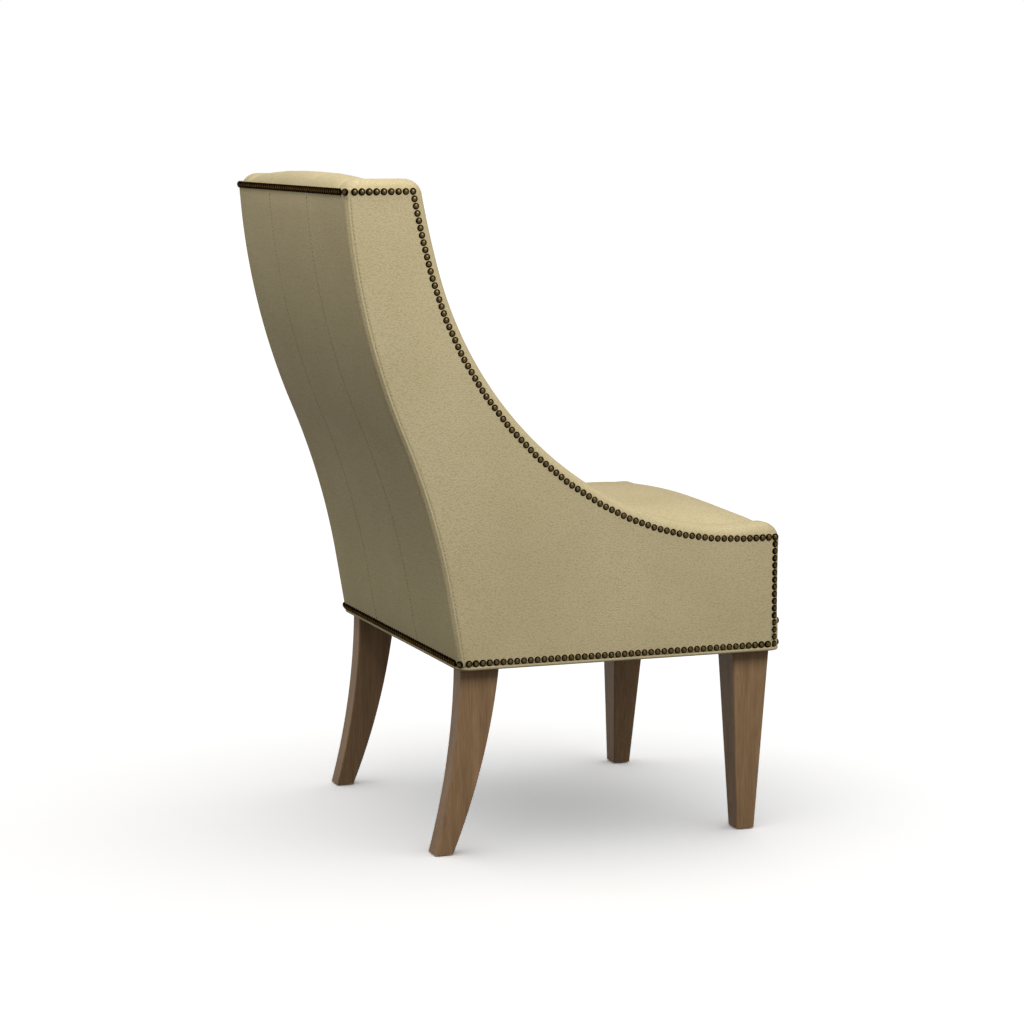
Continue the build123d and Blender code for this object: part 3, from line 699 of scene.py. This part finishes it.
def seat_grid():
    across = np.linspace(-INNER - 5.0, INNER + 5.0, 120)
    profile = Walk(0.0, SEAT_FOOT, 90.0).go(SEAT_FRONT - SEAT_FOOT).turn(CORNER, -84.0).go(470.0)
    lengths = np.concatenate((np.linspace(0.0, 120.0, 24), np.linspace(122.0, 620.0, 160)))[:, None]
    swell = np.maximum(0.0, 1.0 - (across / INNER) ** 2)
    along = smooth((lengths - 90.0) / 150.0)
    sink = 46.0 * np.clip((lengths - 230.0) / 390.0, 0.0, 1.0)
    tuck = 24.0 * crease_drop(across, *SEAT_TUCK)
    lift = 16.0 * swell[None, :] * along - tuck[None, :] * (0.1 + 0.9 * along) - sink * along
    depth, height = profile.at(lengths, lift)
    return world(across[None, :], depth, height)


seat_places = seat_grid()
seat = sheet_piece("seat_leather", seat_places, leather, (0.0, 260.0, 400.0))
cover(seat, "seat_cover", "seat_foam")

# %% [markdown]
# ## Settling the padding
# The seat and inside back are formulas so far, and real foam pushes leather out a little unevenly. That
# could be sculpted, but a short cloth simulation does it: every edge is held, gravity is off, and a
# light pressure swells a coarse copy of the sheet. The move is capped and kept out of the held border,
# so the covers stay over their foam and the seams stay sewn.

# %% A cloth that swells
CLOTH_FRAMES = 14
CLOTH_STEP = 3
PRESSURE = 4.0
HELD_ROWS = 2


def cloth_copy(name, places, faces):
    """A sheet with cloth on it that is held at its border and pushed out by pressure."""
    mesh = bpy.data.meshes.new(name)
    mesh.from_pydata(places.reshape(-1, 3).tolist(), [], faces.tolist())
    copy = new_piece(name, mesh)
    border = np.ones(places.shape[:2], bool)
    border[HELD_ROWS:-HELD_ROWS, HELD_ROWS:-HELD_ROWS] = False
    copy.vertex_groups.new(name="held").add(np.flatnonzero(border).tolist(), 1.0, "REPLACE")
    cloth = copy.modifiers.new("cloth", "CLOTH")
    cloth.settings.quality = 6
    cloth.settings.mass = 0.4
    cloth.settings.tension_stiffness = 30.0
    cloth.settings.compression_stiffness = 30.0
    cloth.settings.bending_stiffness = 2.0
    cloth.settings.air_damping = 4.0
    cloth.settings.use_pressure = True
    cloth.settings.uniform_pressure_force = PRESSURE
    cloth.settings.vertex_group_mass = "held"
    cloth.settings.effector_weights.gravity = 0.0
    cloth.collision_settings.use_collision = False
    cloth.point_cache.frame_start = 1
    cloth.point_cache.frame_end = CLOTH_FRAMES
    return copy


def swelled(copy, places):
    """How far the cloth has moved each place after its frames have run."""
    scene = bpy.context.scene
    for moment in range(1, CLOTH_FRAMES + 1):
        scene.frame_set(moment)
    settled = copy.evaluated_get(bpy.context.evaluated_depsgraph_get()).data
    found = np.empty(places.size)
    settled.vertices.foreach_get("co", found)
    scene.frame_set(1)
    bpy.data.objects.remove(copy)
    return found.reshape(places.shape) - places


print("cloth runs for", CLOTH_FRAMES, "frames")


# %% The seat and the inside back settle
def picks(count):
    """Every third row or column, and the last one."""
    return np.unique(np.append(np.arange(0, count, CLOTH_STEP), count - 1))


def spread(move, row_picks, column_picks):
    """A move found at some rows and columns, carried to all those between them."""
    rows = np.arange(row_picks[-1] + 1)
    columns = np.arange(column_picks[-1] + 1)
    wide = np.stack([np.interp(columns, column_picks, row) for row in move])
    return np.stack([np.interp(rows, row_picks, line) for line in wide.T], axis=1)


def settle(piece, grid_shape, most):
    """Swells a sheet on a coarser copy of its grid, and moves the sheet's points by what that finds."""
    flat = np.empty(math.prod(grid_shape))
    piece.data.vertices.foreach_get("co", flat)
    spots = flat.reshape(grid_shape)
    row_picks, column_picks = [picks(count) for count in grid_shape[:2]]
    coarse = spots[np.ix_(row_picks, column_picks)]
    faces = grid_faces(*coarse.shape[:2])
    if piece.data.polygons[0].vertices[1] != 1:
        faces = faces[:, ::-1]
    move = swelled(cloth_copy(piece.name + "_cloth", coarse, faces), coarse)
    size = np.linalg.norm(move, axis=2, keepdims=True)
    move *= np.minimum(1.0, most * MM / np.maximum(size, 1e-9))
    whole = np.stack([spread(move[:, :, axis], row_picks, column_picks) for axis in range(3)], axis=-1)
    piece.data.vertices.foreach_set("co", (spots + whole).ravel())
    piece.data.update()
    print(piece.name, "settled by up to", round(float(size.max()) / MM, 2), "mm, kept under", most)


settle(seat, seat_places.shape, 5.0)
settle(inside_back, inside_back_places.shape, 3.0)

# %% [markdown]
# ## Front band and welt
# A narrow band of leather crosses the front under the seat, turned round both corners to the side
# nails, and a welt, a cord sewn into leather, closes the base all round. A bevelled curve could make
# the welt. Here both follow one plan of the base, so that they bend round the same corners.


# %% The band
def plan_line(reach, start, rear, radius, side_steps=40):
    """Half of the base's outline in plan, from the right side forward and across to the left."""
    turn = np.linspace(0.0, math.pi / 2, 12)
    x = np.concatenate((np.full(side_steps, -reach), radius - reach - radius * np.cos(turn)))
    side_depth = np.linspace(rear, start + radius, side_steps + 1)[:-1]
    depth = np.concatenate((side_depth, start + radius - radius * np.sin(turn)))
    right = np.stack((x, depth), axis=-1)
    cross = np.linspace(radius - reach, reach - radius, 60)[1:-1]
    front = np.stack((cross, np.full_like(cross, start)), axis=-1)
    left = right[::-1] * np.array((-1.0, 1.0))
    return np.concatenate((right, front, left))


def band_grid():
    plan = plan_line(HALF + 0.2, -0.4, 15.35, FRONT_ROUND, side_steps=1)
    heights = np.linspace(WELT_TOP, BAND_TOP, 24)[:, None]
    proud = 0.8 * np.sin(np.linspace(0.0, math.pi, 24))[:, None]
    return world(plan[None, :, 0], plan[None, :, 1] - proud, heights)


band = sheet_piece("front_band_leather", band_grid(), leather, (0.0, 300.0, 320.0))
cover(band, "front_band", "front_wadding")

# %% The welt
WELT_HEIGHT = 294.7
WELT_REAR = 535.2
WELT_SECTION = (3.0, 3.3)


def tube_mesh(name, loop, height, section, sides=12):
    """A closed tube with an oval section round a loop in plan."""
    reach, rise = section
    count = len(loop)
    along = np.roll(loop, -1, axis=0) - np.roll(loop, 1, axis=0)
    along /= np.linalg.norm(along, axis=1)[:, None]
    outward = np.stack((along[:, 1], -along[:, 0]), axis=-1)
    angle = np.linspace(0.0, 2 * math.pi, sides, endpoint=False)
    plan = loop[:, None] + outward[:, None] * (reach * np.cos(angle))[None, :, None]
    spots = world(plan[:, :, 0], plan[:, :, 1], height + rise * np.sin(angle)[None, :])
    index = np.arange(count * sides).reshape(count, sides)
    ahead = np.roll(index, -1, axis=0)
    faces = np.stack((index, ahead, np.roll(ahead, -1, axis=1), np.roll(index, -1, axis=1)), axis=-1)
    mesh = bpy.data.meshes.new(name)
    mesh.from_pydata(spots.reshape(-1, 3).tolist(), [], faces.reshape(-1, 4).tolist())
    shell = bmesh.new()
    shell.from_mesh(mesh)
    bmesh.ops.recalc_face_normals(shell, faces=shell.faces)
    shell.to_mesh(mesh)
    shell.free()
    mesh.shade_smooth()
    return mesh


def welt_loop():
    front_half = plan_line(HALF - 0.4, 0.4, 300.0, REAR_ROUND)
    rear_half = plan_line(HALF - 0.4, 0.0, 229.0, REAR_ROUND)
    rear_half[:, 1] = WELT_REAR - rear_half[:, 1]
    return np.concatenate((front_half, rear_half[::-1]))


welt_name = "base_welt_leather"
welt = new_piece(welt_name, tube_mesh(welt_name, welt_loop(), WELT_HEIGHT, WELT_SECTION), leather)
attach(welt, "root")
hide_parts("base_welt")
print(welt.name, len(welt.data.polygons), "faces")

# %% [markdown]
# ## Decorative nails
# The nails are domed heads set edge to edge. Each could be an object of its own, but there are hundreds.
# The CAD model has one small solid for each, so their places and directions are read from it, and
# Geometry Nodes put a round dome on every one. The brass is painted nearly black at the foot of each
# head, as shade, and bronze on its crown, as a highlight, which also passes for rubbed patina: the tree
# marks every head with its height, and the colour follows it.

# %% Antique brass, with painted highlight and shade
brass = Finish("antique_brass", Metallic=1.0, Specular_Tint=(0.3, 0.25, 0.17, 1.0))
crown = brass.node("ShaderNodeAttribute", {"attribute_name": "crown"}, {}, "Fac")
# Painted highlight and shade: each head's crown is painted bright bronze and its foot near black, as
# light from above would show them, partly also a rubbed patina.
rubbed_wear_and_painted_highlight = brass.span(crown * 0.9 + brass.noise(300.0, 3.0) * 0.4, 0.8, 1.2)
brass.set("Base Color", brass.mix(rubbed_wear_and_painted_highlight, rgb(10, 8, 5), rgb(98, 81, 50)))
brass.set("Roughness", rubbed_wear_and_painted_highlight * -0.12 + 0.42)
brass.bump(brass.noise(700.0, 2.0), 0.15, 0.4 * MM)
print("finish:", brass.material.name)

# %% Reading the nail places
RIM_CORNERS = 6


def loose_parts(source):
    """The corners of each separate solid in a mesh."""
    waiting = set(source.verts)
    while waiting:
        stack = [waiting.pop()]
        island = []
        while stack:
            vert = stack.pop()
            island.append(vert.co.copy())
            for edge in vert.link_edges:
                other = edge.other_vert(vert)
                if other in waiting:
                    waiting.remove(other)
                    stack.append(other)
        yield island


def nail_places(name):
    """The middle of each nail's base, and the way it faces."""
    source = bmesh.new()
    source.from_mesh(nodes[name].data)
    bmesh.ops.remove_doubles(source, verts=source.verts, dist=1e-6)
    places = []
    for island in loose_parts(source):
        middle = sum(island, Vector()) / len(island)
        far = sorted(island, key=lambda spot: (spot - middle).length)
        base = sum(far[-RIM_CORNERS:], Vector()) / RIM_CORNERS
        tip = sum(far[:-RIM_CORNERS], Vector()) / max(1, len(far) - RIM_CORNERS)
        places.append((base, (tip - base).normalized()))
    source.free()
    return places


print("along the top of the back:", len(nail_places("top_nails")), "nails")


# %% A tree that sets a shape on every point
def scatter_tree(name, sizes, shape, label, material):
    """Puts a shape on each point, turned the way that the point's own vector says."""
    tree = bpy.data.node_groups.new(name, "GeometryNodeTree")
    tree.is_modifier = True
    ports = tree.interface
    ports.new_socket("Geometry", in_out="INPUT", socket_type="NodeSocketGeometry")
    for title, size in sizes.items():
        port = ports.new_socket(title, in_out="INPUT", socket_type="NodeSocketFloat")
        port.default_value = size * MM
    ports.new_socket("Geometry", in_out="OUTPUT", socket_type="NodeSocketGeometry")
    inputs = tree.nodes.new("NodeGroupInput")
    points, wide, tall = [Flow(tree, inputs.outputs[title]) for title in ("Geometry", *sizes)]
    head, scale = shape(tree, wide, tall)
    vector = {"data_type": "FLOAT_VECTOR"}
    way = add_node(tree, "GeometryNodeInputNamedAttribute", vector, {"Name": label})
    turn = add_node(tree, "FunctionNodeAlignRotationToVector", {"axis": "Z"}, {"Vector": way})
    sockets = {"Points": points, "Instance": head, "Rotation": turn, "Scale": scale}
    heads = add_node(tree, "GeometryNodeInstanceOnPoints", {}, sockets)
    solid = add_node(tree, "GeometryNodeRealizeInstances", {}, {"Geometry": heads})
    dressed = add_node(tree, "GeometryNodeSetMaterial", {}, {"Geometry": solid, "Material": material})
    output = tree.nodes.new("NodeGroupOutput")
    tree.links.new(dressed.socket, output.inputs["Geometry"])
    return tree


def smooth_ball(tree, segments, rings):
    ball = {"Segments": segments, "Rings": rings, "Radius": 0.5}
    ball = add_node(tree, "GeometryNodeMeshUVSphere", {}, ball)
    return add_node(tree, "GeometryNodeSetShadeSmooth", {}, {"Geometry": ball})


def grown(name, spots, vectors, label, tree):
    """A plain mesh made by a node tree from points that carry a vector each."""
    seed = bpy.data.meshes.new(name + "_points")
    seed.from_pydata([tuple(spot) for spot in spots], [], [])
    ways = seed.attributes.new(label, "FLOAT_VECTOR", "POINT")
    ways.data.foreach_set("vector", np.array([tuple(way) for way in vectors], np.float32).ravel())
    holder = new_piece(name + "_points", seed)
    holder.modifiers.new("grow", "NODES").node_group = tree
    mesh = bpy.data.meshes.new_from_object(holder.evaluated_get(bpy.context.evaluated_depsgraph_get()))
    bpy.data.objects.remove(holder)
    return new_piece(name, mesh)


# %% The nails
NAIL_SIZES = {"Diameter": 11.2, "Height": 3.6}
NAIL_ROWS = ("side_nails_right", "side_nails_left", "base_nails", "top_nails")
FRONT_NAIL_ROWS = ("front_band_nails", "front_base_nails")
LEATHER_OVER_NAIL = 0.9 * MM
CORNER_LIFT = 5.2 * MM


def nail_dome(tree, diameter, tall):
    """The upper half of a ball and a little more. Its heights are doubled, to be 1 at the crown."""
    spot = add_node(tree, "GeometryNodeInputPosition", {}, {})
    up = add_node(tree, "ShaderNodeSeparateXYZ", {}, {"Vector": spot}, "Z")
    below = add_node(tree, "FunctionNodeCompare", {"operation": "LESS_THAN"}, {0: up, 1: -0.2})
    ball = {"Geometry": smooth_ball(tree, 12, 8), "Selection": below}
    dome = add_node(tree, "GeometryNodeDeleteGeometry", {"domain": "POINT"}, ball)
    mark = {"Geometry": dome, "Name": "crown", "Value": up * 2.0}
    dome = add_node(tree, "GeometryNodeStoreNamedAttribute", {"domain": "POINT"}, mark)
    scale = {"X": diameter, "Y": diameter, "Z": tall * 2.0}
    return dome, add_node(tree, "ShaderNodeCombineXYZ", {}, scale)


def nail_lift(place, facing):
    """The leather covers the CAD surface, a little more so on the squared rear corners."""
    on_corner = abs(facing.x * facing.y) if place.y > 0.0 else 0.0
    return LEATHER_OVER_NAIL + CORNER_LIFT * on_corner


nails = scatter_tree("nail_heads", NAIL_SIZES, nail_dome, "facing", brass.material)
for row in NAIL_ROWS + FRONT_NAIL_ROWS:
    places = nail_places(row)
    spots = [place + facing * nail_lift(place, facing) for place, facing in places]
    heads = grown(row + "_heads", spots, [facing for _, facing in places], "facing", nails)
    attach(heads, "root")
    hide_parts(row)
    print(heads.name, len(places), "nails", len(heads.data.polygons), "faces")

# %% [markdown]
# ## Stitches
# Fine thread closes the seams. It could be a dotted line in the leather's colour, but real stitches
# stand up and catch light. Each is a short bead that half sinks into the leather, so the seams read as
# dotted lines. Places are worked out on the leather, and a tree like that of the nails lays a bead
# along the seam at each.

# %% Thread
STITCH_SIZES = {"Thickness": 1.3, "Length": 3.8}


def stitch_bead(tree, thick, long):
    scale = add_node(tree, "ShaderNodeCombineXYZ", {}, {"X": thick, "Y": thick, "Z": long})
    return smooth_ball(tree, 6, 5), scale


def stitch_tree(name, color):
    finish = Finish(name, Roughness=0.7, Specular_IOR_Level=0.2)
    twist = finish.noise(1500.0, 2.0)
    finish.set("Base Color", finish.mix(twist, darker(color, 0.6), color))
    finish.bump(twist, 0.3, 0.2 * MM)
    return scatter_tree(name + "_stitches", STITCH_SIZES, stitch_bead, "along", finish.material)


# Painted shade: the back's thread is a dark olive, much darker than the side's, and stands in for the
# shade in its stitch holes.
back_thread_painted_hole_shade = stitch_tree("olive_thread_painted_hole_shade", rgb(78, 69, 44))
side_thread = stitch_tree("khaki_thread", rgb(136, 121, 88))
print("stitches", STITCH_SIZES, "mm")

# %% Stitched seams
STITCH_STEP = 6.4
SIDE_STITCH_X = 299.3
SIDE_STITCH_INSET = 10.3

low = back.where_height(WELT_TOP + 14.0)
high = back.where_height(WING_TOP - 26.0)
lengths = np.arange(low, high, STITCH_STEP)
back_rows = [world(x, *back.at(lengths, -back_proud(x, lengths))) for x in (-BACK_SEAM, BACK_SEAM)]
side_rows = [world(side * SIDE_STITCH_X, *back.at(lengths, SIDE_STITCH_INSET)) for side, _ in SIDES]
for name, rows, tree in (
    ("back_stitches", back_rows, back_thread_painted_hole_shade),
    ("side_stitches", side_rows, side_thread),
):
    spots = np.concatenate(rows)
    ways = np.concatenate([np.gradient(row, axis=0) for row in rows])
    stitches = grown(name, spots, ways, "along", tree)
    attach(stitches, "root")
    print(name, len(spots), "stitches")

# %% [markdown]
# ## Wood
# The legs are stained walnut, and keep the mesh of the CAD model. A photograph of boards would need
# unwrapping and show its seams, so the grain is worked out in space. It runs down the leg, so noise is
# stretched along Z: broad bands for the growth, finer fibres, and dark pores.


# %% Wood finishes
def make_wood(name, dark, light, gloss, along=(1.0, 1.0, 0.05)):
    finish = Finish(name, Roughness=gloss, Specular_IOR_Level=0.12)
    spot = finish.stretch(along)
    bands = finish.noise(55.0, 3.0, spot)
    fibres = finish.noise(420.0, 4.0, spot)
    pores = finish.span(finish.noise(900.0, 2.0, finish.stretch((1.0, 1.0, 0.03))), 0.6, 0.72)
    tone = finish.span(bands * 0.5 + fibres * 0.5, 0.33, 0.67)
    stained = finish.mix(tone, dark, light)
    finish.set("Base Color", finish.mix(pores * 0.6, stained, darker(dark, 0.55)))
    finish.set("Roughness", fibres * 0.2 + (gloss - 0.1))
    finish.bump(fibres * 0.5 - pores, 0.25, 0.4 * MM)
    return finish.material


def paint(material, *names):
    """Gives CAD pieces a finish."""
    for name in names:
        nodes[name].data.materials.clear()
        nodes[name].data.materials.append(material)
    print(material.name, "on", *names)


walnut = make_wood("walnut_stain", rgb(111, 86, 60), rgb(140, 112, 82), 0.5)
paint(walnut, "front_leg_right", "front_leg_left", "rear_leg_right", "rear_leg_left")

# %% [markdown]
# ## Hidden pieces
# Rails, webbing and bolts are never seen, but the part may be opened up. One grey for all would do for
# the picture. Each gets a plain finish with the texture of its own stuff instead.


# %% Hidden finishes
def make_cloth(name, color, scale):
    finish = Finish(name, Roughness=0.9)
    fleck = finish.noise(scale, 3.0)
    finish.set("Base Color", finish.mix(fleck, darker(color, 0.7), color))
    finish.bump(fleck, 0.3, 0.5 * MM)
    return finish.material


raw_wood = make_wood("raw_hardwood", rgb(176, 140, 98), rgb(206, 172, 128), 0.7, (0.05, 1.0, 1.0))
plywood = make_wood("plywood", rgb(190, 158, 114), rgb(214, 184, 140), 0.7)
zinc = Finish("zinc_steel", Metallic=1.0, Roughness=0.4)
zinc.set("Base Color", zinc.mix(zinc.noise(300.0), rgb(150, 150, 152), rgb(184, 184, 186)))
paint(raw_wood, *[name for name in nodes if "rail" in name or "block" in name])
paint(plywood, "side_frame_right", "side_frame_left")
paint(make_cloth("webbing", rgb(60, 56, 52), 700.0), "seat_straps", "cross_straps", "back_webbing")
paint(make_cloth("dust_cloth", rgb(38, 37, 36), 1200.0), "dust_cover")
paint(make_cloth("glide_plastic", rgb(48, 44, 40), 2000.0), "foot_glides")
paint(zinc.material, "leg_bolts")

# %% [markdown]
# ## Stage, light and camera
# The chair stands on a white floor in the even light of the world, which gives the floor its shadow.
# Two soft lamps, one on the chair's right and one above its back, light the chair. They could wash the
# shadow out, so light linking keeps them off the floor. Floor and world show white to the camera, by
# the Light Path node and not by more light. The camera is where the nail rows say it was.

# %% The floor
FLOOR_REACH = 40.0
FLOOR_SEEN = 2.0
FLOOR_LIT = 0.3


def seen_rays(tree):
    """1 for rays that show the background, straight or in a reflection, and 0 for light."""
    path = tree.nodes.new("ShaderNodeLightPath")
    names = ("Is Camera Ray", "Is Glossy Ray", "Is Transmission Ray")
    straight, glossy, clear = [Flow(tree, path.outputs[name]) for name in names]
    either = straight.math("MAXIMUM", straight, glossy)
    return either.math("MAXIMUM", either, clear)


def make_floor():
    material = bpy.data.materials.new("floor_white")
    material.use_nodes = True
    tree = material.node_tree
    tree.nodes.clear()
    level = seen_rays(tree) * (FLOOR_SEEN - FLOOR_LIT) + FLOOR_LIT
    matt = add_node(tree, "ShaderNodeBsdfDiffuse", {}, {"Color": level})
    output = tree.nodes.new("ShaderNodeOutputMaterial")
    tree.links.new(matt.socket, output.inputs["Surface"])
    return material


floor_mesh = bpy.data.meshes.new("floor")
floor_corners = [(x * FLOOR_REACH, y * FLOOR_REACH, 0) for x, y in ((-1, -1), (1, -1), (1, 1), (-1, 1))]
floor_mesh.from_pydata(floor_corners, [], [(0, 1, 2, 3)])
floor = new_piece("floor", floor_mesh, make_floor())
floor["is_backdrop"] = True
print("floor", 2 * FLOOR_REACH, "m wide")

# %% World and lamps
WORLD_LIGHT = 0.55
LAMP_TARGET = (0.0, 0.0, 0.6)


def face_along(holder, way):
    """Turns a lamp or camera to look along a direction."""
    holder.rotation_mode = "QUATERNION"
    holder.rotation_quaternion = way.to_track_quat("-Z", "Y")


def make_world():
    sky = bpy.data.worlds.new("studio")
    sky.use_nodes = True
    tree = sky.node_tree
    ground = tree.nodes["Background"]
    strength = seen_rays(tree) * (1.0 - WORLD_LIGHT) + WORLD_LIGHT
    tree.links.new(strength.socket, ground.inputs["Strength"])
    ground.inputs["Color"].default_value = (1.0, 1.0, 1.0, 1.0)
    return sky


bpy.context.scene.world = make_world()
chair_only = bpy.data.collections.new("chair_only")
chair_only.objects.link(floor)
chair_only.collection_objects[0].light_linking.link_state = "EXCLUDE"
for name, place, size, power in (
    ("side_box", (-1.9, -0.3, 1.9), 1.0, 41.0),
    ("rear_box", (-0.4, 1.2, 3.0), 0.8, 44.0),
):
    box = bpy.data.lights.new(name, "AREA")
    box.shape = "SQUARE"
    box.size = size
    box.energy = power
    lamp = new_piece(name, box)
    lamp.location = place
    face_along(lamp, Vector(LAMP_TARGET) - Vector(place))
    lamp.light_linking.receiver_collection = chair_only
    print(name, power, "W")

# %% The camera
SENSOR = 36.0
IMAGE_PIXELS = 1024
FOCAL_PIXELS = 2930.1
CAMERA_PLACE = (-4.4329, FRONT + 1.9743, 1.1157)
YAW = math.radians(-20.229)
PITCH = math.radians(-7.55)

camera_data = bpy.data.cameras.new("camera")
camera_data.sensor_width = SENSOR
camera_data.lens = SENSOR * FOCAL_PIXELS / IMAGE_PIXELS
camera_data.clip_end = 60.0
camera = new_piece("camera", camera_data)
camera.location = CAMERA_PLACE
level = math.cos(PITCH)
face_along(camera, Vector((level * math.cos(YAW), level * math.sin(YAW), math.sin(PITCH))))
bpy.context.scene.camera = camera
bpy.context.scene.view_settings.view_transform = "Standard"
print("camera lens", round(camera_data.lens, 1), "mm")

# %% Sizes
low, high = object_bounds()
print("box", [round(v, 4) for v in low], [round(v, 4) for v in high])
